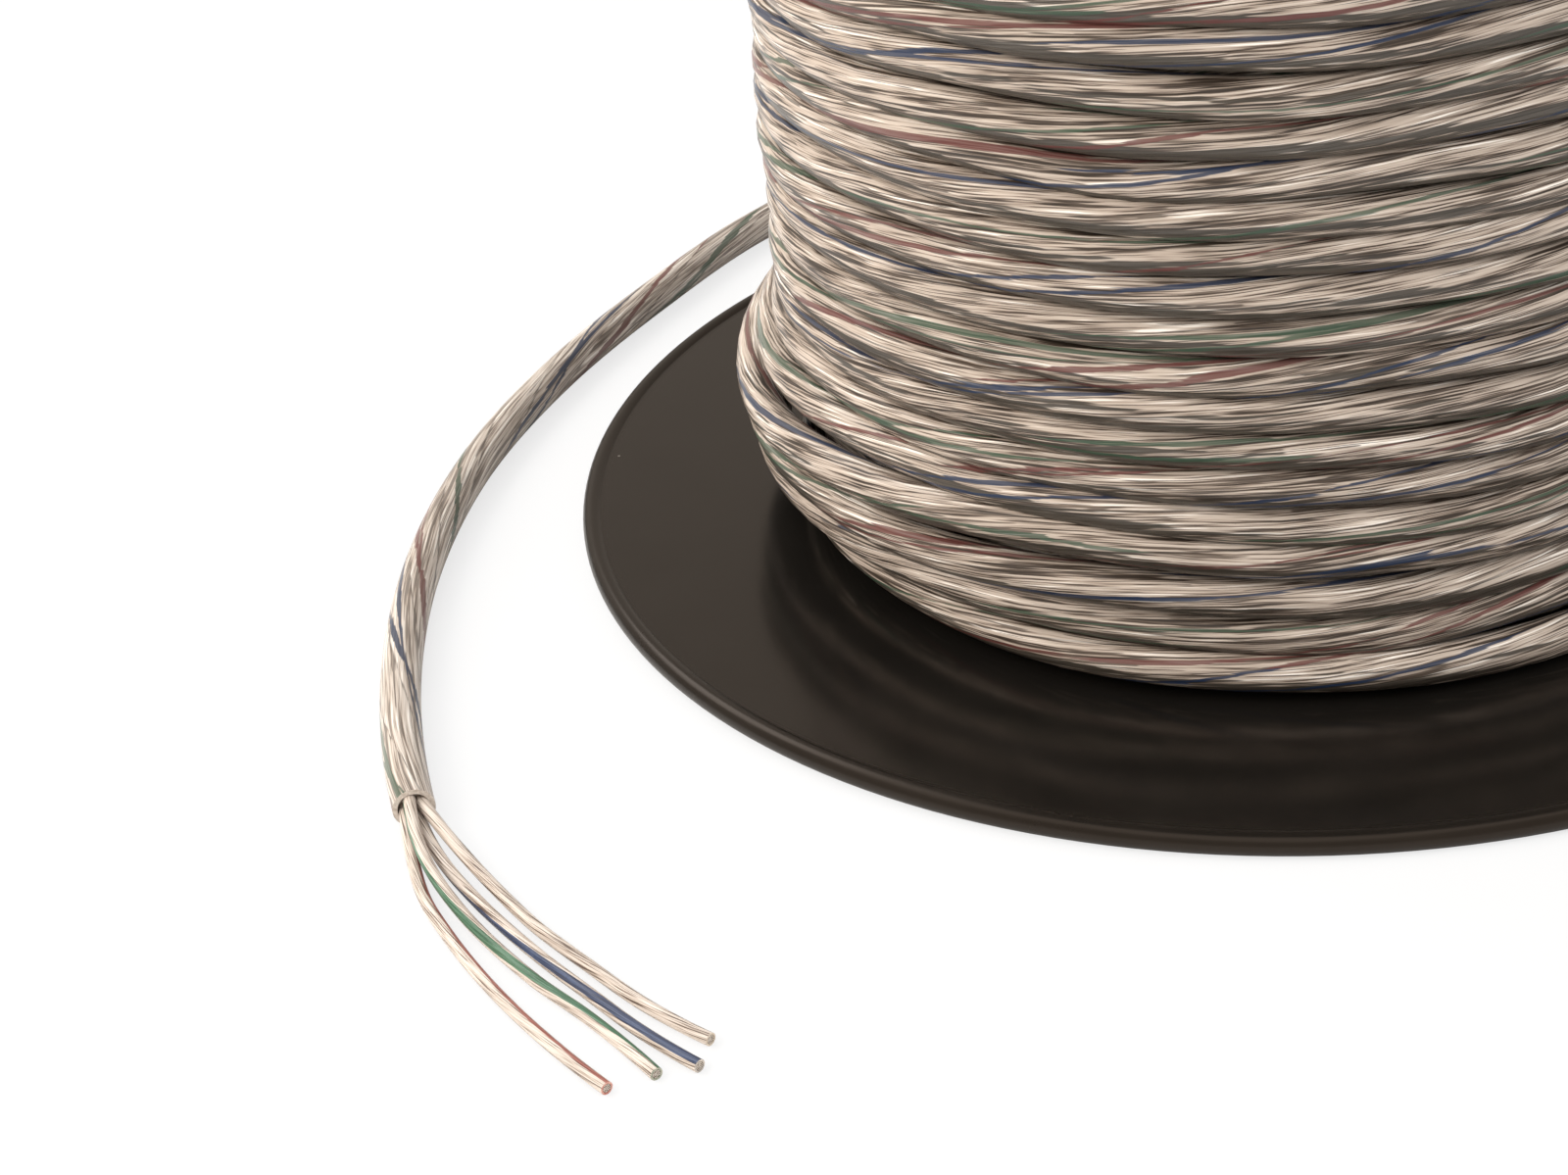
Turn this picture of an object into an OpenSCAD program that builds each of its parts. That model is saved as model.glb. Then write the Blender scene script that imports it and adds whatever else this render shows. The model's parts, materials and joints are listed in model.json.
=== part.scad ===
// Reel of clear round four-core cable. The reel stands on its lower flange, and the
// free end of the cable comes off the last turn, drops over the flange and lies on
// the surface beside it, with its jacket cut back and its four cores fanned out.
// Millimetres, +Z up along the reel's axis, origin under the centre of the reel.

/* [Reel] */
// Outside diameter of both flanges
flange_d = 200; // [170:1:300]
// Thickness of a flange's disc
disc_t = 2.5; // [1.5:0.1:6]
// Thickness of the round bead at a flange's edge
rim_t = 3; // [2:0.1:8]
// Clear height between the flanges, which the winding fills
traverse = 170; // [60:1:400]

/* [Barrel] */
// Outside diameter of the barrel that carries the first layer
barrel_d = 100; // [60:1:130]
// Wall of the barrel
barrel_wall = 2.5; // [1.5:0.1:5]
// Length of the spigot that centres a flange in the barrel
spigot_len = 8; // [3:0.5:20]
// Wall of the spigot
spigot_wall = 2.5; // [1.5:0.1:5]
// Radial clearance between spigot and barrel
spigot_gap = 0.1; // [0.05:0.05:0.4]

/* [Spindle hole] */
// Diameter of the hole for the spindle
bore_d = 30; // [12:0.5:40]
// Wall of the hub round that hole
hub_wall = 4; // [2:0.5:10]
// Length of the hub, from the flange's outer face
hub_len = 12; // [8:1:40]

/* [Cable] */
// Outside diameter of the cable's jacket
cable_d = 5; // [3:0.1:6]
// Outside diameter of one insulated core
core_d = 1.6; // [1:0.1:2]
// Number of layers on the barrel
layers = 4; // [2:1:5]
// Radial step from one layer to the next
layer_rise = 4.7; // [3.5:0.1:6]

/* [Loose turns] */
// How far the loose turns at the bottom lean out to the left
slack_shift = 7.2; // [0.5:0.1:9]
// How much smaller than the tight turns the lowest of them is
slack_foot = 4.6; // [0:0.1:8]
// Height above the lower flange at which they lean out most
slack_mid = 19; // [12:1:40]
// Height above the lower flange at which they end
slack_top = 33; // [26:1:60]

/* [Hidden] */
$fn = 96;

reel_h = traverse + 2 * disc_t;
barrel_r = barrel_d / 2;
barrel_bore_r = barrel_r - barrel_wall;
spigot_r = barrel_bore_r - spigot_gap;
winding_r = barrel_r + cable_d + (layers - 1) * layer_rise;
slack_band = 2.5;  // half height of the band where the loose turns lean out most

// Heights of the free cable's centre line
lay_gap = 0.1;  // clearance under a cable that lies on the flange
on_disc = disc_t + cable_d / 2 + lay_gap;
on_rim = rim_t + cable_d / 2 + lay_gap;
off_rim = 4.8;
going_down = 3.5;
on_floor = cable_d / 2;
core_floor = core_d / 2;

// Centre line of the free cable, from the last turn to the cut end
tail_route = [
    [59.5, -34, on_disc], [70.5, -8, on_disc], [73.5, 21, on_disc], [69, 50, on_disc],
    [57, 76, on_disc], [48, 88, on_rim], [37.5, 98, off_rim], [25, 107, going_down],
    [11, 113.5, on_floor], [-15, 120, on_floor], [-43.5, 117, on_floor],
    [-69, 103.5, on_floor], [-87, 81, on_floor], [-100, 54, on_floor],
    [-110.5, 26, on_floor], [-117, -3.5, on_floor], [-118, -33.5, on_floor],
    [-114, -63, on_floor], [-104.5, -94, on_floor]];

// Where each core leaves the cut end: angle round the cable, from its inner side
clear_at = 20;
green_at = 110;
red_at = 200;
blue_at = 290;
core_gap = 0.1;  // clearance between neighbouring cores
core_ring_r = (core_d + core_gap) / sqrt(2);

// Centre lines of the stripped cores past the cut end
red_route = [[-103, -102, 1.2], [-99.5, -110, core_floor], [-95, -117, core_floor],
    [-89, -125, core_floor], [-81, -134, core_floor], [-71, -143.5, core_floor]];
green_route = [[-100.5, -104.5, 2.6], [-94, -113.5, 1.4], [-88, -120, core_floor],
    [-82.5, -125.5, core_floor], [-75.5, -131.5, core_floor], [-66, -141, core_floor]];
blue_route = [[-99, -103, 1.4], [-92, -111.5, core_floor], [-83, -121, core_floor],
    [-76, -127.5, core_floor], [-70, -133, core_floor], [-61.5, -139.5, core_floor]];
clear_route = [[-98, -100.5, 2.2], [-91, -108.5, 1.2], [-84.5, -115.5, core_floor],
    [-77.5, -122, core_floor], [-69, -129.5, core_floor], [-61, -135, core_floor]];

// Smooth curve through a route's points
function gap_after(p, i) = norm(p[i + 1] - p[i]);
function chord(p, i) = (p[i + 1] - p[i]) / gap_after(p, i);
function heading(p, i) =
    i == 0 ? 2 * chord(p, 0) - heading(p, 1)
    : i == len(p) - 1 ? 2 * chord(p, i - 1) - heading(p, i - 1)
    : (gap_after(p, i) * chord(p, i - 1) + gap_after(p, i - 1) * chord(p, i))
        / (gap_after(p, i - 1) + gap_after(p, i));
function on_curve(p, i, u) =
    let (reach = gap_after(p, i))
    (2 * pow(u, 3) - 3 * pow(u, 2) + 1) * p[i]
    + (pow(u, 3) - 2 * pow(u, 2) + u) * reach * heading(p, i)
    + (3 * pow(u, 2) - 2 * pow(u, 3)) * p[i + 1]
    + (pow(u, 3) - pow(u, 2)) * reach * heading(p, i + 1);
function curve(p, step) = [
    for (i = [0 : len(p) - 2])
        let (n = ceil(gap_after(p, i) / step))
        for (j = [0 : n - 1]) on_curve(p, i, j / n),
    p[len(p) - 1]];
function kept_above(line, floor_z) = [for (q = line) [q[0], q[1], max(q[2], floor_z)]];

// Ring of points round a centre line that runs nearly level
function unit(v) = v / norm(v);
function level(v) = unit([v[0], v[1], 0]);
function across(t) = unit([-t[1], t[0], 0]);
function ring(centre, t, r, sides) = [
    for (k = [0 : sides - 1])
        let (a = 360 * (k + 0.5) / sides)
        centre + r * (cos(a) * across(t) + sin(a) * cross(unit(t), across(t)))];

// Tube of round section through a route's points; its ends are square to the headings given
module tube(route, step, d, sides, first, final) {
    line = kept_above(curve(route, step), d / 2);
    last = len(line) - 1;
    points = [
        for (i = [0 : last])
            let (t = i == 0 ? first
                : i == last ? final
                : unit(line[i + 1] - line[i]) + unit(line[i] - line[i - 1]))
            each ring(line[i], t, d / 2, sides)];
    walls = [
        for (i = [0 : last - 1], k = [0 : sides - 1])
            [i * sides + k, i * sides + (k + 1) % sides,
             (i + 1) * sides + (k + 1) % sides, (i + 1) * sides + k]];
    start_cap = [for (k = [sides - 1 : -1 : 0]) k];
    end_cap = [for (k = [0 : sides - 1]) last * sides + k];
    polyhedron(points, concat([start_cap], walls, [end_cap]), convexity = 4);
}

tail_end = tail_route[len(tail_route) - 1];
tail_end_heading = level(heading(tail_route, len(tail_route) - 1));
tail_step = 15;  // three diameters
core_step = 6;

function core_start(angle) = tail_end
    + core_ring_r * (cos(angle) * across(tail_end_heading) + [0, 0, sin(angle)]);

module stripped_core(angle, route) {
    whole = concat([core_start(angle)], route);
    tube(whole, core_step, core_d, 8, tail_end_heading, level(heading(whole, len(whole) - 1)));
}

// Half outline of a flange, in the plane of the axis
module flange_section() {
    spigot_in = spigot_r - spigot_wall;
    translate([bore_d / 2, 0]) square([flange_d / 2 - rim_t / 2 - bore_d / 2, disc_t]);
    translate([flange_d / 2 - rim_t / 2, rim_t / 2]) circle(d = rim_t);
    translate([bore_d / 2, 0]) square([hub_wall, hub_len]);
    translate([spigot_in, 0]) square([spigot_wall, disc_t + spigot_len]);
}

module flange() {
    rotate_extrude() flange_section();
}

module lower_flange() {
    color("#26221f") flange();
}

module upper_flange() {
    color("#26221f") translate([0, 0, reel_h]) mirror([0, 0, 1]) flange();
}

module barrel() {
    color("#26221f") translate([0, 0, disc_t])
        difference() {
            cylinder(h = traverse, d = barrel_d);
            translate([0, 0, -1]) cylinder(h = traverse + 2, r = barrel_bore_r);
        }
}

// Outer shape of all the turns: the tight layers, and the loose turns that lean out
module cable_winding() {
    inner_r = barrel_r + cable_d;
    color("#b9a795") translate([0, 0, disc_t]) {
        difference() {
            union() {
                cylinder(h = traverse, r = winding_r);
                translate([-slack_shift, 0]) rotate_extrude()
                    polygon([[inner_r, 0], [winding_r - slack_foot, 0],
                        [winding_r, slack_mid - slack_band], [winding_r, slack_mid + slack_band],
                        [winding_r - slack_shift, slack_top], [inner_r, slack_top]]);
            }
            translate([0, 0, -1]) cylinder(h = traverse + 2, d = barrel_d);
        }
    }
}

module cable_tail() {
    color("#c9b8a6")
        tube(tail_route, tail_step, cable_d, 12, heading(tail_route, 0), tail_end_heading);
}

module core_red() {
    color("#a8473f") stripped_core(red_at, red_route);
}

module core_green() {
    color("#4c8a63") stripped_core(green_at, green_route);
}

module core_blue() {
    color("#3d4f7c") stripped_core(blue_at, blue_route);
}

module core_clear() {
    color("#d8cab8") stripped_core(clear_at, clear_route);
}

lower_flange();
upper_flange();
barrel();
cable_winding();
cable_tail();
core_red();
core_green();
core_blue();
core_clear();
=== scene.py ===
# %% [markdown]
# # A reel of clear four-core cable
# The reel and its winding come from the CAD model, which is loaded here as a fixed frame. This
# lesson adds what CAD leaves plain: every turn of the cable, the look of tinned strands under
# clear plastic, the twisted cores at the stripped end, the gloss of the reel, and the studio.

# %% Load the frame
import json
import math
import bpy
from mathutils import Matrix, Quaternion, Vector, noise

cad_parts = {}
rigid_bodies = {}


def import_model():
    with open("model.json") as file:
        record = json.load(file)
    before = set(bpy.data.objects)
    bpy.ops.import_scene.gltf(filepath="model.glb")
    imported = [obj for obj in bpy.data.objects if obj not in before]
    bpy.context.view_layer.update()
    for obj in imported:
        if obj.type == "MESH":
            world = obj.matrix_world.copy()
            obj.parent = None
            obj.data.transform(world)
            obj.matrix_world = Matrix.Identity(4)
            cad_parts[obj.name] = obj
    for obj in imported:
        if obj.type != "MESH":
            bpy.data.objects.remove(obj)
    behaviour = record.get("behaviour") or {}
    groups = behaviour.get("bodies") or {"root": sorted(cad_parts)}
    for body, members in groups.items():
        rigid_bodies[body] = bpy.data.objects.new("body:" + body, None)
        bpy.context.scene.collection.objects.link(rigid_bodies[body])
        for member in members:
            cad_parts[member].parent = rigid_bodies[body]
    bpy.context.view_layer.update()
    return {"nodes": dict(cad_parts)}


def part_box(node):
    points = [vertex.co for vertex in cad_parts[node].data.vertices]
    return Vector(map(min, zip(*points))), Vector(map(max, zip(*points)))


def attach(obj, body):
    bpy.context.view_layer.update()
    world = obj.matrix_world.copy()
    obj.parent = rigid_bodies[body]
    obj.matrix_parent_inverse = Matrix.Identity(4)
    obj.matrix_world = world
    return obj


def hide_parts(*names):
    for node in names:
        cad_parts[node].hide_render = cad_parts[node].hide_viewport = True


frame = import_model()
nodes = frame["nodes"]
mm = 0.001

# %% [markdown]
# ## The camera
# The camera looks down at the reel from the front, so close that the reel runs out of view at
# the right and at the top. It could be turned by hand until the view looks right. Here its
# place, its direction and its roll are written down as numbers, because they came from the
# reel's known diameter: the outline of a circle tells where it is seen from.

# %% Camera
def add_camera(place, direction, roll, focal_length):
    data = bpy.data.cameras.new("camera")
    data.sensor_width = 36
    data.lens = focal_length
    data.clip_start = 0.01
    eye = bpy.data.objects.new("camera", data)
    bpy.context.scene.collection.objects.link(eye)
    turn = Vector(direction).to_track_quat("-Z", "Y")
    turn = turn @ Quaternion((0, 0, 1), math.radians(roll))
    eye.matrix_world = Matrix.Translation(place) @ turn.to_matrix().to_4x4()
    bpy.context.scene.camera = eye
    return eye


eye = add_camera(place=(0, -0.3852, 0.20625), direction=(-0.16203, 0.84920, -0.50260),
                 roll=-5.873, focal_length=68.36)
print("camera at", tuple(eye.location))

# %% [markdown]
# ## The cable's route
# The free end lies over the lower flange, drops off its edge behind the reel and comes round to
# the front on the floor. A Bezier curve drawn by hand could do this. The route here is a short
# list of points, the same ones that the CAD model uses, with a smooth curve through them, so
# that the drawn cable lies where the CAD cable does.

# %% Sizes of the cable and the reel
cable_d = 5.0 * mm
wound_d = cable_d + 0.3 * mm
free_d = 5.4 * mm
core_d = 1.6 * mm
play = 0.1 * mm
disc_t = 2.5 * mm
bead_t = 3 * mm
reel_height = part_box("upper_flange")[1][2]
barrel_r = 50 * mm
layers = 4
layer_rise = 4.7 * mm
pitch = 5.05 * mm
on_disc = disc_t + cable_d / 2 + play
on_rim = bead_t + cable_d / 2 + play
layer_radii = [barrel_r + cable_d / 2 + k * layer_rise for k in range(layers)]
print("layers at", [round(r / mm, 1) for r in layer_radii], "mm")

# %% [markdown]
# The free end needs a point wherever its bend changes, and each core a few of its own: the cores
# leave the jacket close together and part as fingers have bent them. The heights follow from what
# each stretch lies on, the disc, the bead or the floor.

# %% Route of the free end and of its cores
def millimetres(rows):
    return [Vector(row) * mm for row in rows]


# heights of the free end's middle over the disc, over the bead and on the floor
extra = (free_d - cable_d) / mm / 2
disc = on_disc / mm + extra
rim = on_rim / mm + extra
ground = free_d / mm / 2
tail_route = millimetres([
    (59.5, -34, disc), (70.5, -8, disc), (73.5, 21, disc), (69, 50, disc),
    (57, 76, disc), (48, 88, rim), (37.5, 98, 4.8), (25, 107, 3.5),
    (11, 113.5, ground), (-15, 120, ground), (-43.5, 117, ground),
    (-69, 103.5, ground), (-87, 81, ground), (-100, 54, ground),
    (-110.5, 26, ground), (-117, -3.5, ground), (-118, -33.5, ground),
    (-114, -63, ground), (-104.5, -94, ground)])

# each core: its angle at the cut, counted from the left over the top, and its points
low = core_d / mm / 2
core_routes = {
    "red": (200, millimetres([(-103, -102, 1.2), (-99.5, -110, low), (-95, -117, low),
                              (-89, -125, low), (-81, -134, low), (-71, -143.5, low)])),
    "green": (110, millimetres([(-100.5, -104.5, 2.6), (-94, -113.5, 1.4), (-88, -120, low),
                                (-82.5, -125.5, low), (-75.5, -131.5, low),
                                (-66, -141, low)])),
    "blue": (290, millimetres([(-99, -103, 1.4), (-92, -111.5, low), (-83, -121, low),
                               (-76, -127.5, low), (-70, -133, low),
                               (-61.5, -139.5, low)])),
    "clear": (20, millimetres([(-98, -100.5, 2.2), (-91, -108.5, 1.2), (-84.5, -115.5, low),
                               (-77.5, -122, low), (-69, -129.5, low), (-61, -135, low)]))}
print(len(tail_route), "points on the tail,", len(core_routes), "cores")

# %% [markdown]
# A smooth curve needs a direction at every point. Each direction is the average of the two
# chords that meet there, weighted so that a short chord counts more, and the curve between two
# points is a cubic that leaves and arrives along those directions.

# %% Smooth curve through points
def headings(points):
    gaps = [(b - a).length for a, b in zip(points, points[1:])]
    chords = [(b - a) / g for a, b, g in zip(points, points[1:], gaps)]
    middle = [
        (after * before_chord + before * after_chord) / (before + after)
        for before, after, before_chord, after_chord
        in zip(gaps, gaps[1:], chords, chords[1:])]
    return [2 * chords[0] - middle[0]] + middle + [2 * chords[-1] - middle[-1]], gaps


def smooth_line(points, step, lowest):
    """A line through the points that never dips below the lowest height."""
    ways, gaps = headings(points)
    line = []
    for a, b, way_a, way_b, gap in zip(points, points[1:], ways, ways[1:], gaps):
        count = math.ceil(gap / step)
        for j in range(count):
            u = j / count
            line.append(
                (2 * u ** 3 - 3 * u ** 2 + 1) * a + (u ** 3 - 2 * u ** 2 + u) * gap * way_a
                + (3 * u ** 2 - 2 * u ** 3) * b + (u ** 3 - u ** 2) * gap * way_b)
    line.append(points[-1])
    return [Vector((p.x, p.y, max(p.z, lowest))) for p in line]


def length_of(line):
    return sum((b - a).length for a, b in zip(line, line[1:]))


tail_line = smooth_line(tail_route, step=2.5 * mm, lowest=free_d / 2)
tail_length = length_of(tail_line)
print("free end", round(tail_length, 4), "m")

# %% [markdown]
# ## The winding
# The cable is wound on the barrel in four layers, up, down, up and down again, so the last layer
# ends at the lower flange. A screw modifier could make one helix, but it can't climb from layer
# to layer or let turns slip. Here every turn is drawn: a function gives the cable's place for
# any number of turns before the end, and it is sampled finely in the outer layer, which shows,
# and coarsely in the hidden ones.

# %% How the turns lie
end_angle = math.degrees(math.atan2(tail_route[0].y, tail_route[0].x))
low_z = on_disc
high_z = reel_height - disc_t - cable_d / 2
layer_turns = (high_z - low_z) / pitch
all_turns = layers * layer_turns

# the share of a turn in which the cable climbs from one layer to the next
climb = 0.35

# the turns of the outer layer waver in groups and one by one, over these heights
group_height, turn_height = 22 * mm, 4 * mm

# the lowest turns, from the last one up: how far each leans out to the left, how much it lifts
# on its way there, and how much it drops at the far left
leaning_from = 0.4
leans = [-2.5, 4.8, 6.0, 7.0, 3.1, 0.6, 0.0]
lifts = [0.0, 0.0, -0.4, 1.9, 1.1, 0.4, 0.0]
drops = [0.0, 0.2, 0.4, 0.7, 0.4, 0.0, 0.0]
print("turns in a layer:", round(layer_turns, 1))

# %% [markdown]
# An even helix looks machine-made. Random steps from turn to turn would leave kinks, so a smooth
# noise lets the turns of the outer layer waver, in groups and one by one. The lowest turns also
# lean out to the left, where they have come loose, and the last one runs out into the free end.

# %% Where the cable lies
def between(values, position):
    """The value at a place in a list, in a straight line from one number to the next."""
    position = max(0.0, min(position, len(values) - 1.001))
    k = int(position)
    return values[k] + (values[k + 1] - values[k]) * (position - k)


def eased(u):
    """From 0 to 1, leaving and arriving gently."""
    u = max(0.0, min(1.0, u))
    return u * u * (3 - 2 * u)


def waver(x, y, z, height, shift_x=0, shift_y=0):
    return noise.noise(Vector((2 * x + shift_x, 2 * y + shift_y, z / height)))


def winding_place(back):
    """Where the cable's middle is, this many turns before the winding ends."""
    layer = min(int(back / layer_turns), layers - 1)
    into = back - layer * layer_turns
    rising = into / layer_turns
    z = low_z + (high_z - low_z) * (rising if layer % 2 == 0 else 1 - rising)
    radius = layer_radii[layers - 1 - layer]
    if layer < layers - 1:
        radius -= layer_rise * eased((into - layer_turns + climb) / climb)
    angle = math.radians(end_angle - 360 * back)
    if layer == 0:
        x, y = math.cos(angle), math.sin(angle)
        z += 0.8 * mm * waver(x, y, z, group_height) * eased(back)
        z += 1.0 * mm * waver(x, y, z, turn_height, shift_x=9) * eased(back)
        radius += 0.8 * mm * waver(x, y, z, turn_height, shift_y=9)
        turn, to_left = back - leaning_from, max(0.0, -x)
        radius += between(leans, turn) * mm * to_left ** 1.5
        z += between(lifts, turn) * mm * 4 * to_left * (1 - to_left)
        z -= between(drops, turn) * mm * to_left ** 4
        radius += (tail_route[0].xy.length - layer_radii[-1]) * (1 - eased(back))
    return Vector((radius * math.cos(angle), radius * math.sin(angle), z))


def winding_samples():
    fine_step, coarse_step = 1 / 78, 1 / 24
    back, line = all_turns, []
    while back > 1e-6:
        line.append(winding_place(back))
        back -= fine_step if back < layer_turns + 0.5 else coarse_step
    return line + [winding_place(0)]


winding_line = winding_samples()
winding_length = length_of(winding_line)
print("winding", round(all_turns, 1), "turns,", round(winding_length, 2), "m")

# %% [markdown]
# ## A tube with maps on it
# A curve with a round bevel would give a tube, but not the maps that the finish needs. The tube
# is built ring by ring instead. Each ring starts at the cable's left side and goes over its top,
# so nothing twists. Its map holds metres along the cable and the share of the way round. A cut
# end is left hollow for a little way, so that the wall of the plastic shows.

# %% Rings of a tube
def ring(point, heading, radius, sides):
    left = Vector((-heading.y, heading.x, 0)).normalized()
    up = heading.cross(left).normalized()
    turns = [2 * math.pi * k / sides for k in range(sides)]
    return [point + radius * (math.cos(a) * left + math.sin(a) * up) for a in turns]


def headings_along(line):
    last = len(line) - 1
    return [(line[min(i + 1, last)] - line[max(i - 1, 0)]).normalized() for i in range(last + 1)]


def add_faces(faces, start, rings, sides):
    """Faces between rings that follow each other, the first at vertex number start."""
    for i in range(rings - 1):
        for k in range(sides):
            near, far = start + i * sides, start + (i + 1) * sides
            after = (k + 1) % sides
            faces.append((near + k, near + after, far + after, far + k))


# %% [markdown]
# A second map is for baking: a long thin tube would waste a square picture, so the tube is cut
# into stretches that are stacked as rows, and the small faces of its ends fill a strip on top.

# %% Rows for baking
# the rows fill the map up to this height, and the strip of end faces lies above
rows_end = 0.95
strip_middle, strip_half = 0.977, 0.018
row_end, row_length = 0.002, 0.996


def even_rows(spans, count):
    """Each row: its first span, the span after its last, and its lower edge in the map."""
    edges = [round(spans * k / count) for k in range(count + 1)]
    return [(a, b, rows_end * k / count) for k, (a, b) in enumerate(zip(edges, edges[1:]))]


def bake_corners(rows, sides, end_faces, outer_share):
    """The corners of every outer face in its row, then those of the end faces in the strip."""
    tops = [row[2] for row in rows[1:]] + [rows_end]
    corners = []
    for (first, last, low), high in zip(rows, tops):
        margin = 0.04 * (high - low)
        for i in range(first, last):
            before, after = [
                row_end + row_length * (j - first) / (last - first) for j in (i, i + 1)]
            levels = [
                low + margin + (high - low - 2 * margin) * outer_share(k / sides)
                for k in range(sides + 1)]
            for one, two in zip(levels, levels[1:]):
                corners += [before, one, before, two, after, two, after, one]
    cell = 1 / len(end_faces)
    for j, face in enumerate(end_faces):
        for k in range(len(face)):
            a = 2 * math.pi * (k + 0.5) / len(face)
            corners += [(j + 0.5 + 0.4 * math.cos(a)) * cell,
                        strip_middle + strip_half * math.sin(a)]
    return corners


def all_round(share):
    return share


def mostly_outside(share):
    """More of the row for the side that faces out of the winding."""
    return between([0.0, 0.03, 0.1, 0.3, 0.5, 0.7, 0.9, 0.97, 1.0], share * 8)


# %% [markdown]
# With its maps ready the tube itself can be made. All quads between two rings face outward, and
# the caps get a material of their own, because a cut through plastic looks duller than its skin.

# %% Tube
def tube(name, line, diameter, sides, starts_at=0.0, wall=None, rows=None, spread=all_round):
    ways = headings_along(line)
    rings = [ring(p, way, diameter / 2, sides) for p, way in zip(line, ways)]
    along = [starts_at]
    for a, b in zip(line, line[1:]):
        along.append(along[-1] + (b - a).length)
    faces, caps = [], [tuple(reversed(range(sides)))]
    add_faces(faces, 0, len(rings), sides)
    spans = len(rings) - 1
    if wall:
        inner = diameter / 2 - wall
        inside = [line[-1] - ways[-1] * depth * mm for depth in (0, 0.3, 1.2)]
        rings += [ring(p, ways[-1], inner, sides) for p in inside]
        add_faces(caps, spans * sides, len(inside) + 1, sides)
    caps.append(tuple(range((len(rings) - 1) * sides, len(rings) * sides)))

    mesh = bpy.data.meshes.new(name)
    mesh.from_pydata([v for one in rings for v in one], [], faces + caps)
    corners = []
    for i in range(spans):
        for k in range(sides):
            near, far = k / sides, (k + 1) / sides
            corners += [along[i], near, along[i], far, along[i + 1], far, along[i + 1], near]
    for face in caps:
        corners += [along[-1], 0.5] * len(face)
    mesh.uv_layers.new(name="lay").data.foreach_set("uv", corners)
    corners = bake_corners(rows or even_rows(spans, 4), sides, caps, spread)
    mesh.uv_layers.new(name="OFBake").data.foreach_set("uv", corners)
    mesh.uv_layers.active = mesh.uv_layers["lay"]
    mesh.polygons.foreach_set("material_index", [0] * len(faces) + [1] * len(caps))
    mesh.shade_smooth()
    mesh.set_sharp_from_angle(angle=math.radians(50))
    piece = bpy.data.objects.new(name, mesh)
    bpy.context.scene.collection.objects.link(piece)
    print(name, len(mesh.polygons), "faces")
    return piece


# %% [markdown]
# The winding and the free end are one cable, so metres are counted from the cut end back. In the
# winding's bake map each outer turn has a row of its own, and the hidden turns share thin ones.
# Both tubes are drawn a little thicker than the CAD cable: wound turns press flat on each other
# and leave no gap, and the free end, under no pull, is a little fuller.

# %% Winding and free end
all_spans = len(winding_line) - 1
outer_spans = sum(1 for p in winding_line if p.xy.length > layer_radii[-1] - 2 * mm) - 1
hidden_spans = all_spans - outer_spans
turn_spans = math.ceil(outer_spans / math.ceil(layer_turns))

# how many spans of hidden turns share a row of the map, and how high such a row is
hidden_row, hidden_height = 400, 0.02
winding_rows = [(a, min(a + hidden_row, hidden_spans), hidden_height * k)
                for k, a in enumerate(range(0, hidden_spans, hidden_row))]
outer_low = hidden_height * len(winding_rows)
starts = list(range(hidden_spans, all_spans, turn_spans))
winding_rows += [
    (a, min(a + turn_spans, all_spans), outer_low + (rows_end - outer_low) * k / len(starts))
    for k, a in enumerate(starts)]

winding = tube("wound_cable", winding_line, wound_d, sides=14,
               starts_at=-tail_length - winding_length, rows=winding_rows, spread=mostly_outside)
tail = tube("free_end_jacket", tail_line, free_d, sides=24, starts_at=-tail_length,
            wall=0.64 * mm, rows=even_rows(len(tail_line) - 1, 6))

# %% [markdown]
# ## The four stripped cores
# Past the cut the jacket is gone and the cores lie fanned out on the surface. Each one starts a
# little way inside the jacket, at its own place in the twist, and ends with its own cut, where
# the wall of its insulation shows round the strands.

# %% Cores
tail_way = headings(tail_route)[0][-1]
tail_way = Vector((tail_way.x, tail_way.y, 0)).normalized()
tail_left = Vector((-tail_way.y, tail_way.x, 0))
up = Vector((0, 0, 1))
core_ring = (core_d + play) / math.sqrt(2)
cores, core_lines, bare_lengths = {}, {}, {}
for name, (angle, points) in core_routes.items():
    a = math.radians(angle)
    start = tail_route[-1] + core_ring * (math.cos(a) * tail_left + math.sin(a) * up)
    line = smooth_line([start] + points, step=1.0 * mm, lowest=core_d / 2)
    bare_lengths[name] = length_of(line)
    core_lines[name] = [start - tail_way * depth * mm for depth in (1.4, 0.7)] + line
    cores[name] = tube(name + "_core", core_lines[name], core_d, sides=12,
                       starts_at=-bare_lengths[name], wall=0.24 * mm)

# %% [markdown]
# ## Tinned strands in the cut ends
# Inside each core are nineteen fine tinned wires. They could be one disc with a pattern, but the
# light catches each little end. One strand is modelled as a bevelled cylinder and copied into a
# bundle, one in the middle, six round it and twelve round those, and each core gets a copy.

# %% One bundle of strands
def deselect():
    bpy.ops.object.select_all(action="DESELECT")


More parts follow.
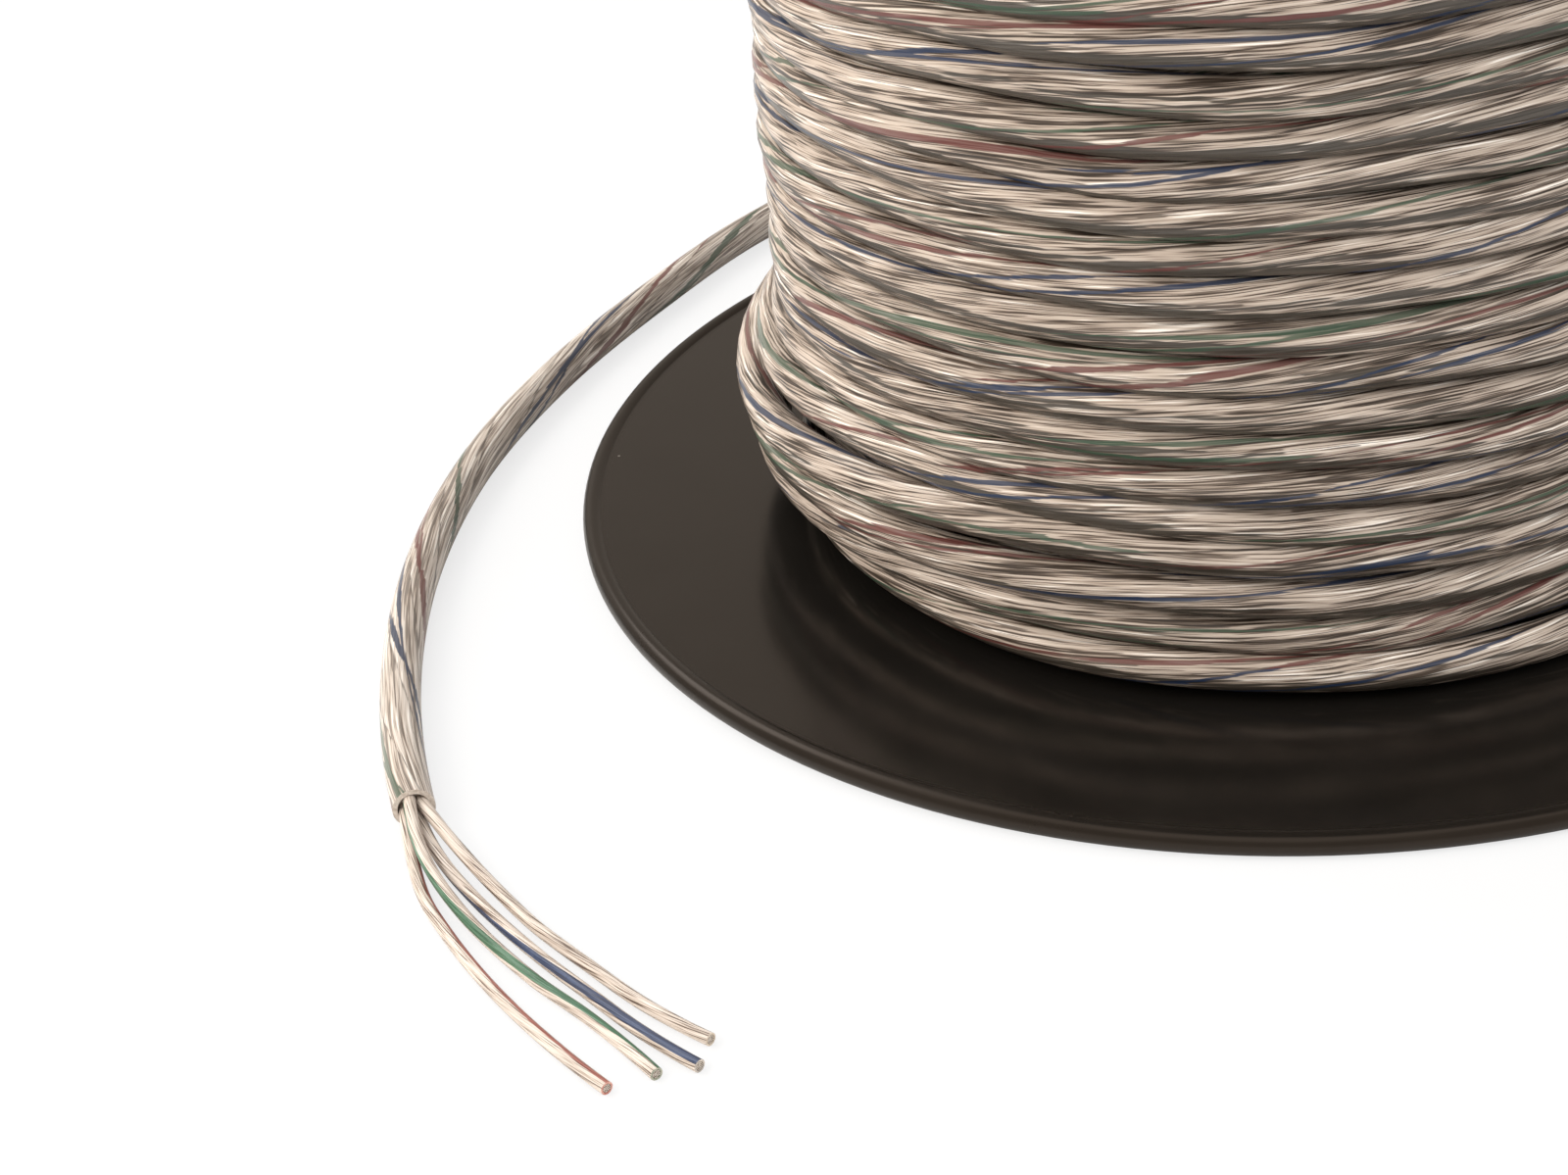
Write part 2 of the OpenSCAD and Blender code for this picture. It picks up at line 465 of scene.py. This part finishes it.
def model_bundle(strand_d, length):
    bevel_width, spacing, step_back = 0.03 * mm, 1.02, 0.03 * mm
    deselect()
    bpy.ops.mesh.primitive_cylinder_add(
        vertices=10, radius=strand_d / 2, depth=length, location=(0, 0, -length / 2))
    bpy.ops.object.transform_apply()
    strand = bpy.context.object
    bevel = strand.modifiers.new("rounded_end", "BEVEL")
    bevel.width = bevel_width
    bevel.segments = 2
    bevel.angle_limit = math.radians(60)
    bpy.ops.object.modifier_apply(modifier="rounded_end")
    places = [(0, 0)]
    for ring_number in (1, 2):
        for k in range(6 * ring_number):
            a = 2 * math.pi * k / (6 * ring_number)
            reach = ring_number * strand_d * spacing
            places.append((reach * math.cos(a), reach * math.sin(a)))
    for number, (x, y) in enumerate(places[1:], 1):
        deselect()
        strand.select_set(True)
        bpy.context.view_layer.objects.active = strand
        bpy.ops.object.duplicate()
        copy = bpy.context.object
        copy.data.transform(Matrix.Translation((x, y, -step_back * (number % 3))))
        copy.name = "strand_copy"
    deselect()
    for piece in bpy.context.scene.objects:
        if piece.name.startswith("strand_copy"):
            piece.select_set(True)
    strand.select_set(True)
    bpy.context.view_layer.objects.active = strand
    bpy.ops.object.join()
    bpy.ops.object.shade_smooth_by_angle(angle=math.radians(40))
    return strand


bundle = model_bundle(strand_d=0.2 * mm, length=1.6 * mm)
print("bundle", len(bundle.data.polygons), "faces")

# %% [markdown]
# Each core gets a copy of the bundle. A child object that follows the curve could place it, but a
# copy turned to the core's last direction is simpler, and only its rounded tips stand out.

# %% A bundle in each core
strands = {}
for name, line in core_lines.items():
    mesh = bundle.data.copy()
    way = (line[-1] - line[-2]).normalized()
    turn = way.to_track_quat("Z", "Y").to_matrix().to_4x4()
    mesh.transform(Matrix.Translation(line[-1] + 0.02 * mm * way) @ turn)
    strands[name] = bpy.data.objects.new(name + "_core_strands", mesh)
    bpy.context.scene.collection.objects.link(strands[name])
bpy.data.objects.remove(bundle)
print(len(strands), "bundles")

# %% [markdown]
# ## The flanges
# Each flange is one moulding: a disc with a round bead at its edge, a short hub round the spindle
# hole and a thin spigot that centres it in the barrel. The CAD model already has this shape, in
# flat triangles that show along the bead. A lathe would turn it from its outline, and so does the
# spin operator here, in fine steps: a ring of points is set out as the outline and spun once
# round. The upper flange is the same moulding turned over.

# %% Outline of a flange
def flange_outline():
    """Radius and height of each point, in millimetres."""
    bead, bead_r, top = 98.5, bead_t / mm / 2, disc_t / mm
    bead_steps, bead_sweep = 24, 228
    points = [(15.4, 0.0), (40.0, 0.0), (70.0, 0.0)]
    for k in range(bead_steps + 1):
        a = math.radians(-90 + k * bead_sweep / bead_steps)
        points.append((bead + bead_r * math.cos(a), bead_r + bead_r * math.sin(a)))
    points += [(97.1, top), (80.0, top), (60.0, top), (48.0, top), (47.4, top + 0.3),
               (47.4, 10.2), (47.1, 10.5), (45.2, 10.5), (44.9, 10.2), (44.9, top + 0.4),
               (44.5, top), (30.0, top), (19.5, top), (19.0, top + 0.5), (19.0, 11.6),
               (18.6, 12.0), (15.4, 12.0), (15.0, 11.6), (15.0, 0.4)]
    return points


def model_flange():
    outline = flange_outline()
    deselect()
    bpy.ops.mesh.primitive_circle_add(vertices=len(outline), radius=10 * mm)
    flange = bpy.context.object
    for vertex, (r, z) in zip(flange.data.vertices, outline):
        vertex.co = Vector((r, 0, z)) * mm
    bpy.ops.object.mode_set(mode="EDIT")
    bpy.ops.mesh.select_all(action="SELECT")
    bpy.ops.mesh.spin(steps=192, angle=2 * math.pi, center=(0, 0, 0), axis=(0, 0, 1))
    bpy.ops.mesh.select_all(action="SELECT")
    bpy.ops.mesh.remove_doubles(threshold=0.01 * mm)
    bpy.ops.mesh.normals_make_consistent(inside=False)
    bpy.ops.object.mode_set(mode="OBJECT")
    bpy.ops.object.shade_smooth_by_angle(angle=math.radians(32))
    return flange


lower_flange = model_flange()
lower_flange.name = "lower_flange_moulding"
print("flange", len(lower_flange.data.polygons), "faces")

# %% [markdown]
# Both flanges come out of the same mould. The upper one is therefore not modelled again: its mesh
# is a copy, turned over and lifted to the height of the reel.

# %% The upper flange, turned over
upper_mesh = lower_flange.data.copy()
upper_mesh.transform(Matrix.Translation((0, 0, reel_height)) @ Matrix.Rotation(math.pi, 4, "X"))
upper_flange = bpy.data.objects.new("upper_flange_moulding", upper_mesh)
bpy.context.scene.collection.objects.link(upper_flange)
heights = [vertex.co.z for vertex in upper_mesh.vertices]
print("upper flange from", round(min(heights), 4), "to", round(max(heights), 4), "m")

# %% [markdown]
# ## Writing finishes as sums
# A finish is a tree of nodes. Wired by hand, a sum of four noises takes a dozen nodes and is hard
# to read, so a small class holds a socket and lets Python's own signs add the Math nodes.

# %% A socket to calculate with
class Wire:
    """A shader socket that Python can calculate with."""

    def __init__(self, tree, socket=None):
        self.tree, self.socket = tree, socket

    def make(self, kind, settings=None, inputs=None, output=0):
        """Any node: its type, its settings, then the values or links of its sockets."""
        node = self.tree.nodes.new(kind)
        for name, value in (settings or {}).items():
            if name == "stops":
                self.set_stops(node.color_ramp, value)
            else:
                setattr(node, name, value)
        for name, value in (inputs or {}).items():
            if isinstance(value, Wire):
                self.tree.links.new(value.socket, node.inputs[name])
            else:
                node.inputs[name].default_value = value
        return Wire(self.tree, node.outputs[output])

    def other(self, output):
        """Another output of the same node."""
        return Wire(self.tree, self.socket.node.outputs[output])

    def set_stops(self, ramp, stops):
        while len(ramp.elements) < len(stops):
            ramp.elements.new(0.5)
        for stop, (place, colour) in zip(ramp.elements, stops):
            stop.position, stop.color = place, colour

    def math(self, operation, *others):
        inputs = dict(enumerate((self,) + others))
        return self.make("ShaderNodeMath", {"operation": operation}, inputs)

    def __add__(self, other):
        return self.math("ADD", other)

    def __sub__(self, other):
        return self.math("SUBTRACT", other)

    def __mul__(self, other):
        return self.math("MULTIPLY", other)

    def __rsub__(self, other):
        return self.make("ShaderNodeMath", {"operation": "SUBTRACT"}, {0: other, 1: self})


# %% [markdown]
# A few steps come up in every finish: a soft threshold, a mix of two colours, a row of colours, a
# bump. Each gets a short name here, so that the finishes read as descriptions.

# %% Finish helpers
def smooth(value, low, high):
    return value.make(
        "ShaderNodeMapRange", {"interpolation_type": "SMOOTHSTEP"},
        {"Value": value, "From Min": low, "From Max": high})


def mixed(share, first, second):
    return share.make(
        "ShaderNodeMix", {"data_type": "RGBA"}, {0: share, 6: first, 7: second}, output=2)


def ramp(value, stops, interpolation="LINEAR"):
    wire = value.make("ShaderNodeValToRGB", {"stops": stops}, {0: value})
    wire.socket.node.color_ramp.interpolation = interpolation
    return wire


def new_finish(name, roughness, coat=0.0):
    material = bpy.data.materials.new(name)
    material.use_nodes = True
    shader = material.node_tree.nodes["Principled BSDF"]
    shader.inputs["Roughness"].default_value = roughness
    shader.inputs["Coat Weight"].default_value = coat
    shader.inputs["Coat Roughness"].default_value = 0.15
    return material, Wire(material.node_tree), shader


def link(wire, node, socket):
    wire.tree.links.new(wire.socket, node.inputs[socket])


def bumped(wire, height, strength, distance):
    return wire.make(
        "ShaderNodeBump", {}, {"Height": height, "Strength": strength, "Distance": distance})


# %% [markdown]
# ## The look of the cable
# The jacket is clear, and what shows through it is four twisted cores of fine tinned wires, three
# of them with a stripe of colour. Real glass over real cores could do it, but the round jacket
# magnifies the cores until they fill it, so the same look is painted on the jacket's surface:
# the map gives the core and the place on it, long thin noises give the wires, and a stripe
# wanders over each core. A smooth coat over the bumps is the jacket's gloss.

# %% Long thin streaks
def lay_map(wire):
    lay = wire.make("ShaderNodeUVMap", {"uv_map": "lay"})
    along = wire.make("ShaderNodeSeparateXYZ", {}, {0: lay})
    return along, along.other(1)


def streaks(wire, along, across, seed, long_mm, wide_mm, detail=1.0):
    """A noise whose spots are this long and this wide; along is in metres, across in mm."""
    place = wire.make("ShaderNodeCombineXYZ", {},
                      {0: along * (1000 / long_mm), 1: across * (1 / wide_mm), 2: seed})
    return wire.make("ShaderNodeTexNoise", {"noise_dimensions": "3D"},
                     {"Vector": place, "Scale": 1.0, "Detail": detail, "Roughness": 0.5})


def towards(colour, other, share):
    """An opaque colour, this share of the way from the first to the second."""
    return tuple(a + (b - a) * share for a, b in zip(colour, other)) + (1,)


# %% [markdown]
# Three of the cores have a stripe in their insulation. Seen through the jacket it is a thin line
# that wanders and breaks off where it turns away. A drawn picture of stripes would repeat itself,
# so the stripe is the set of points that are close to a slowly wandering line.

# %% One stripe on a core
# one tone for each core; the first core has no stripe, so its tone is never seen
stripe_tones = [
    (0.0, (0.1, 0.1, 0.1, 1)), (0.2, (0.033, 0.074, 0.043, 1)),
    (0.45, (0.12, 0.032, 0.028, 1)), (0.7, (0.009, 0.025, 0.066, 1))]


def stripe(wire, along, local, number, seed, half):
    """local: the place on the core, from -1 to 1; half: half of the stripe's width on it."""
    waves_per_metre, reach, edge = 9, 5, 0.04
    wander = wire.make("ShaderNodeTexNoise", {"noise_dimensions": "1D"},
                       {"W": along * waves_per_metre + number * 31.7 + seed,
                        "Scale": 1.0, "Detail": 0.0})
    away = (local - (wander - 0.5) * reach).math("ABSOLUTE")
    return 1 - smooth(away - half, 0.0, edge)


# %% [markdown]
# The look is built from the inside out. First the wires: three noises, from fine to broad, are
# added and coloured from the painted shade between wires to their painted shine. Then come the
# painted shade in the gaps between the cores, the painted shade under each turn, and at last the
# stripes, which must stay clear of the painted shade.

# %% Look of the jacketed cable
# painted shade between the wires and in the gaps between the cores
painted_gap_shade = (0.035, 0.025, 0.018)


def cable_finish(name, lay_length, core_at, strand_slope, depth, under, broken, pale):
    """lay_length: the length in which the cores turn once; core_at: where the plain core lies
    at the cut end; strand_slope: how much the wires slant over a core; depth: how dark the
    painted shade between the wires and in the gaps looks; under: how dark the painted shade
    on the lower side is; broken: how often a stripe breaks off; pale: the three lightest
    colours, the last of them a painted shine."""
    material, wire, shader = new_finish(name, roughness=0.45, coat=0.35)
    along, around = lay_map(wire)
    half_core_mm, round_mm = 1.95, 15.7

    # the cores are counted along the cable, from a number so large that none is below zero
    above_zero = 40000.5
    core = (around - core_at) * 4 + along * (4 / lay_length) + above_zero
    local = core.math("FRACT") * 2 - 1
    number = core.math("FLOOR").math("MODULO", 4)
    seed = number * 7.3

    # the wires: they wander a little, and each noise is broader than the one before
    across = local * half_core_mm + along * (strand_slope / mm)
    bend = streaks(wire, along, local, seed + 3, long_mm=32, wide_mm=4)
    across = across + (bend - 0.5) * 2.0
    fine = streaks(wire, along, across, seed, long_mm=11, wide_mm=0.27, detail=2.5)
    medium = streaks(wire, along, across, seed + 1, long_mm=24, wide_mm=0.55)
    broad = streaks(wire, along, across, seed + 2, long_mm=60, wide_mm=1.2)
    bright = fine * 0.72 + medium * 0.36 + broad * 0.24 - 0.16
    # the wires are coloured from painted shade between them up to a painted shine on the brightest
    light = (0.74, 0.63, 0.54)
    colour = ramp(bright, [
        (0.39, towards(painted_gap_shade, light, 1 - depth)),
        (0.425, towards((0.12, 0.088, 0.068), light, 1 - depth)),
        (0.455, towards((0.31, 0.245, 0.195), light, 1 - depth)),
        (0.5, pale[0]), (0.6, pale[1]), (0.66, pale[2])])

    # short dashes of painted shade between the wires
    dash = streaks(wire, along, across, seed + 5, long_mm=9, wide_mm=0.17, detail=0.0)
    colour = mixed(smooth(dash, 0.605, 0.645) * (0.82 * depth), colour, (0.08, 0.057, 0.042, 1))

    # painted shade in the gap on both sides of a core, which shows only here and there
    gap = 1 - smooth(1 - local.math("ABSOLUTE") + (fine - 0.5) * 0.3, 0.02, 0.12)
    gap = gap * smooth(medium, 0.4, 0.6) * (0.85 * depth)
    colour = mixed(gap, colour, painted_gap_shade + (1,))

    # painted shade under the turn, darker towards its lower side, in long pointed patches
    down = (around * (2 * math.pi)).math("SINE") * -1
    patch = streaks(wire, along, around * round_mm, 40.0, long_mm=55, wide_mm=1.3, detail=2.0)
    shade = smooth(down + (patch - 0.5) * 3.2 + (medium - 0.5) * 2.0, 0.16, 0.36)
    colour = mixed(shade * under, colour, (0.038, 0.031, 0.023, 1))

    # one bold stripe and one thin one, on every core but the first
    bold = stripe(wire, along, local, number, seed=0.0,
                  half=(broad - broken) * 0.62 + (fine - 0.5) * 0.45)
    thin = stripe(wire, along, local, number, seed=11.3,
                  half=(broad - broken) * 0.4 + (fine - 0.5) * 0.4)
    painted = bold.math("MAXIMUM", thin) * number.math("GREATER_THAN", 0.5)
    strength = number * 0.04 + 0.79
    colour = mixed(painted * strength, colour, ramp(number * 0.25, stripe_tones, "CONSTANT"))

    link(colour, shader, "Base Color")
    height = (1 - local * local).math("SQRT") * 0.15 + bright * 0.5
    link(bumped(wire, height, strength=0.5, distance=1.0 * mm), shader, "Normal")
    shader.inputs["Specular IOR Level"].default_value = 0.35
    return material


# %% [markdown]
# On the reel the cable is pulled straight, and its cores turn once in 125 mm. The free end has
# sprung back to one turn in 92 mm. The free end is also painted lighter, as if lit more brightly,
# with less painted shade, and it shows more of its stripes, so the same look is used twice with
# other numbers.

# %% Finish on the winding and the free end
lay_wound, lay_free = 125 * mm, 92 * mm
plain_core_at = 20 / 360
wound_core_at = plain_core_at + tail_length / lay_free - tail_length / lay_wound
# the painted shade under each turn is strong on the winding and weak on the free end
winding.data.materials.append(
    cable_finish("wound_clear_cable", lay_wound, wound_core_at, strand_slope=-0.03, depth=1.0,
                 under=0.93, broken=0.31,
                 pale=((0.485, 0.397, 0.327, 1), (0.615, 0.52, 0.44, 1), (0.99, 0.92, 0.84, 1))))
tail.data.materials.append(
    cable_finish("free_clear_cable", lay_free, plain_core_at, strand_slope=-0.12, depth=0.75,
                 under=0.25, broken=0.26,
                 pale=((0.56, 0.485, 0.42, 1), (0.69, 0.615, 0.545, 1), (0.93, 0.87, 0.8, 1))))
print("cable finishes on", winding.name, "and", tail.name)

# %% [markdown]
# A stripped core is the same thing without the jacket: fine wires under clear insulation, with
# one stripe that turns slowly round it. A ramp along the core holds the stripe's place and its
# width, so each core can have a stripe of its own.

# %% Look of a stripped core
def core_finish(name, length, seed, tone, course):
    """tone: the stripe's dark and light colour; course: stops along the core, each with the
    stripe's place and half width round it."""
    material, wire, shader = new_finish(name + "_core_insulation", roughness=0.45, coat=0.25)
    along, around = lay_map(wire)
    way = along * (1 / length) + 1
    round_mm, strand_slope = 5.03, 0.07
    across = around * round_mm + along * (strand_slope / mm)
    bend = streaks(wire, along, around, seed + 3, long_mm=9, wide_mm=0.6)
    across = across + (bend - 0.5) * 0.5
    fine = streaks(wire, along, across, seed, long_mm=6, wide_mm=0.13)
    medium = streaks(wire, along, across, seed + 1, long_mm=16, wide_mm=0.4)
    bright = fine * 0.7 + medium * 0.4 - 0.05
    # the wires, coloured from the painted shade between them up to their lightest tone
    colour = ramp(bright, [
        (0.40, (0.12, 0.085, 0.065, 1)), (0.44, (0.36, 0.285, 0.23, 1)),
        (0.475, (0.56, 0.475, 0.405, 1)), (0.62, (0.75, 0.665, 0.59, 1))])
    if tone:
        place = ramp(way, [(at, (middle, half, 0, 1)) for at, middle, half in course])
        middle = wire.make("ShaderNodeSeparateColor", {}, {0: place})
        half = middle.other(1)
        away = ((around - middle + 0.5).math("FRACT") - 0.5).math("ABSOLUTE")
        painted = 1 - smooth(away - half + (medium - 0.5) * 0.05 + (fine - 0.5) * 0.03, 0.0, 0.02)
        shown = mixed(smooth(fine, 0.3, 0.7), tone[0], tone[1])
        colour = mixed(painted * 0.93, colour, shown)
    link(colour, shader, "Base Color")
    link(bumped(wire, bright, strength=0.25, distance=0.3 * mm), shader, "Normal")
    shader.inputs["Specular IOR Level"].default_value = 0.35
    return material


def cut_finish(name, first, second):
    """The face where a knife went through clear plastic."""
    material, wire, shader = new_finish(name + "_cut", roughness=0.5)
    place = wire.make("ShaderNodeTexCoord", output=3)
    grain = wire.make("ShaderNodeTexNoise", {}, {"Vector": place, "Scale": 1800.0, "Detail": 3.0})
    link(mixed(smooth(grain, 0.35, 0.65), first, second), shader, "Base Color")
    link(bumped(wire, grain, strength=0.4, distance=0.2 * mm), shader, "Normal")
    return material


# %% [markdown]
# The stripes take the course that they have on the real ends: the red one keeps to one side, the
# green one crosses over and thins out, and the blue one widens towards its cut. A random course
# would look as natural, but these four ends are what one looks at first.

# %% Finish on the cores
# each core: the two tones of its stripe, the stripe's course, and the two tones of the cut
core_looks = {
    "red": (((0.17, 0.045, 0.035, 1), (0.4, 0.13, 0.10, 1)),
            [(0.0, 0.07, 0.05), (0.3, 0.10, 0.055), (0.6, 0.15, 0.06), (1.0, 0.2, 0.06)],
            ((0.5, 0.17, 0.13, 1), (0.7, 0.4, 0.32, 1))),
    "green": (((0.025, 0.092, 0.048, 1), (0.062, 0.185, 0.108, 1)),
              [(0.0, 0.46, 0.03), (0.25, 0.46, 0.08), (0.5, 0.36, 0.11), (0.7, 0.24, 0.10),
               (1.0, 0.14, 0.05)],
              ((0.3, 0.32, 0.24, 1), (0.5, 0.48, 0.38, 1))),
    "blue": (((0.008, 0.018, 0.05, 1), (0.015, 0.048, 0.135, 1)),
             [(0.1, 0.60, 0.02), (0.3, 0.52, 0.05), (0.55, 0.40, 0.08), (0.8, 0.28, 0.11),
              (1.0, 0.24, 0.13)],
             ((0.4, 0.36, 0.32, 1), (0.62, 0.54, 0.46, 1))),
    "clear": (None, None, ((0.5, 0.4, 0.3, 1), (0.68, 0.58, 0.46, 1)))}
for number, (name, (tone, course, cut)) in enumerate(core_looks.items()):
    insulation = core_finish(name, bare_lengths[name], 5.1 * number, tone, course)
    cores[name].data.materials.append(insulation)
    cores[name].data.materials.append(cut_finish(name + "_core", *cut))
jacket_cut = cut_finish("jacket", (0.52, 0.44, 0.37, 1), (0.72, 0.64, 0.56, 1))
tail.data.materials.append(jacket_cut)
winding.data.materials.append(jacket_cut)
print("core finishes:", ", ".join(core_looks))

# %% [markdown]
# The strands are copper with a thin coat of tin, bright where they are cut. A plain metal would
# do for ends this small, and a fine grain in its colour and its gloss keeps them from looking new.

# %% Tinned strands
def strand_finish():
    material, wire, shader = new_finish("tinned_wire", roughness=0.35)
    place = wire.make("ShaderNodeTexCoord", output=3)
    grain = wire.make("ShaderNodeTexNoise", {}, {"Vector": place, "Scale": 2500.0, "Detail": 2.0})
    link(mixed(grain, (0.5, 0.42, 0.35, 1), (0.85, 0.8, 0.74, 1)), shader, "Base Color")
    link(grain * 0.2 + 0.25, shader, "Roughness")
    shader.inputs["Metallic"].default_value = 0.9
    return material


tinned = strand_finish()
for piece in strands.values():
    piece.data.materials.append(tinned)
print("tinned wire on", len(strands), "bundles")

# %% [markdown]
# ## The black plastic of the reel
# The reel is moulded in glossy black plastic that has picked up a little dust. A plain glossy
# shader looks like wet paint, so a fine grain changes its colour and its gloss slightly, and a
# few specks of dust sit on it, in about every fifth cell of a Voronoi pattern. The bead at the
# edge is a little duller, because a reel is rolled and stacked on it.

# %% Reel finish
def reel_finish():
    material, wire, shader = new_finish("black_plastic", roughness=0.2)
    place = wire.make("ShaderNodeTexCoord", output=3)
    grain = wire.make("ShaderNodeTexNoise", {}, {"Vector": place, "Scale": 90.0, "Detail": 4.0})
    colour = mixed(grain, (0.006, 0.0053, 0.0045, 1), (0.0105, 0.0092, 0.0078, 1))
    cells = wire.make("ShaderNodeTexVoronoi", {}, {"Vector": place, "Scale": 75.0})
    chosen = wire.make("ShaderNodeSeparateColor", {}, {0: cells.other("Color")})
    every_fifth = 0.8
    speck = (1 - smooth(cells, 0.014, 0.028)) * chosen.math("GREATER_THAN", every_fifth)
    colour = mixed(speck * 0.8, colour, (0.4, 0.36, 0.32, 1))
    link(colour, shader, "Base Color")
    x = wire.make("ShaderNodeSeparateXYZ", {}, {0: place})
    y = x.other(1)
    from_axis = (x * x + y * y).math("SQRT")
    bead_from, bead_all = 0.0962, 0.0972
    worn = smooth(from_axis, bead_from, bead_all)
    link(grain * 0.1 + worn * 0.12 + 0.12, shader, "Roughness")
    shader.inputs["Specular IOR Level"].default_value = 0.4
    shader.inputs["Specular Tint"].default_value = (1.0, 0.8, 0.66, 1)
    return material


black = reel_finish()
lower_flange.data.materials.append(black)
upper_flange.data.materials.append(black)
for slot in nodes["barrel"].material_slots:
    slot.link = "OBJECT"
    slot.material = black
print("black plastic on the reel")

# %% [markdown]
# ## What each piece stands for
# The drawn cable replaces the CAD model's plain solids, which stay for collision. All of it
# moves with the reel, its only body.

# %% Pieces
for flange, name in ((lower_flange, "lower_flange"), (upper_flange, "upper_flange")):
    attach(flange, "root")
    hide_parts(name)
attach(winding, "root")
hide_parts("cable_winding")
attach(tail, "root")
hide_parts("cable_tail")
for name, core in cores.items():
    line = core_lines[name]
    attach(core, "root")
    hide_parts("core_" + name)
    "core_" + name
    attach(strands[name], "root")
    length_of(line)
    print(name, "core", round(length_of(line), 4), "m")

# %% [markdown]
# ## The studio
# The reel stands on a pale floor. Lamps strong enough to turn it white would bleach the cable too,
# so it looks white to the camera by a little light of its own, which lights nothing else, and it
# still shows the reel's shadow.

# %% Floor
bpy.ops.mesh.primitive_plane_add(size=60, location=(0, 0, 0))
floor = bpy.context.object
floor.name = "floor"
material, wire, shader = new_finish("floor_paint", roughness=0.8)
shader.inputs["Base Color"].default_value = (0.8, 0.8, 0.8, 1)
own_light = 0.75
camera_ray = wire.make("ShaderNodeLightPath")
white = wire.make("ShaderNodeEmission", {}, {"Color": (1, 1, 1, 1), "Strength": 1.0})
seen_floor = wire.make("ShaderNodeMixShader", {}, {
    0: camera_ray * own_light, 1: Wire(wire.tree, shader.outputs[0]), 2: white})
link(seen_floor, wire.tree.nodes["Material Output"], "Surface")
floor.data.materials.append(material)

# %% [markdown]
# Large soft lamps light the reel: one at each side, one above, one behind and one for the round
# edge. Black plastic mirrors a lamp as a white patch, so only the wide lamp above and the one for
# the edge show in gloss, and the others light without being mirrored.

# %% Lamps
def softbox(name, place, target, size, power, colour=(1, 1, 1), in_gloss=False):
    data = bpy.data.lights.new(name, "AREA")
    data.shape = "RECTANGLE"
    data.size, data.size_y = size
    data.energy = power
    data.color = colour
    lamp = bpy.data.objects.new(name, data)
    lamp.visible_glossy = in_gloss
    lamp.location = place
    lamp.rotation_euler = (Vector(target) - Vector(place)).to_track_quat("-Z", "Y").to_euler()
    bpy.context.scene.collection.objects.link(lamp)
    return lamp


softbox("left", place=(-0.86, -0.36, 0.58), target=(0, 0, 0.06), size=(0.9, 0.7), power=10.5,
        colour=(1, 0.94, 0.86))
softbox("right", place=(0.85, -0.16, 0.6), target=(0, 0, 0.06), size=(0.7, 0.7), power=4.9)
softbox("above", place=(-0.15, -0.2, 1.1), target=(0, 0, 0.05), size=(1.5, 1.3), power=3.9,
        in_gloss=True)
softbox("behind", place=(-0.5, 0.8, 0.65), target=(-0.05, 0.08, 0), size=(0.8, 0.5), power=2.3)
softbox("edge", place=(-0.66, 0.34, 0.72), target=(-0.05, -0.05, 0), size=(0.6, 0.45), power=2.2,
        in_gloss=True)

# %% [markdown]
# Round all this is a plain room. In gloss it is dim and warm, and to the camera it is as bright as
# the far floor, so no horizon shows. The colours go to the screen as they are.

# %% Room
world = bpy.data.worlds.new("studio")
world.use_nodes = True
bpy.context.scene.world = world
sky = Wire(world.node_tree)
background = world.node_tree.nodes["Background"]
camera_ray = sky.make("ShaderNodeLightPath")
glossy_ray = camera_ray.other("Is Glossy Ray")
room = mixed(glossy_ray, (1, 0.99, 0.98, 1), (1, 0.88, 0.76, 1))
everywhere, more_to_camera, more_in_gloss = 0.55, 0.31, 0.05
strength = camera_ray * more_to_camera + glossy_ray * more_in_gloss + everywhere
link(room, background, "Color")
link(strength, background, "Strength")

bpy.context.scene.view_settings.view_transform = "Standard"
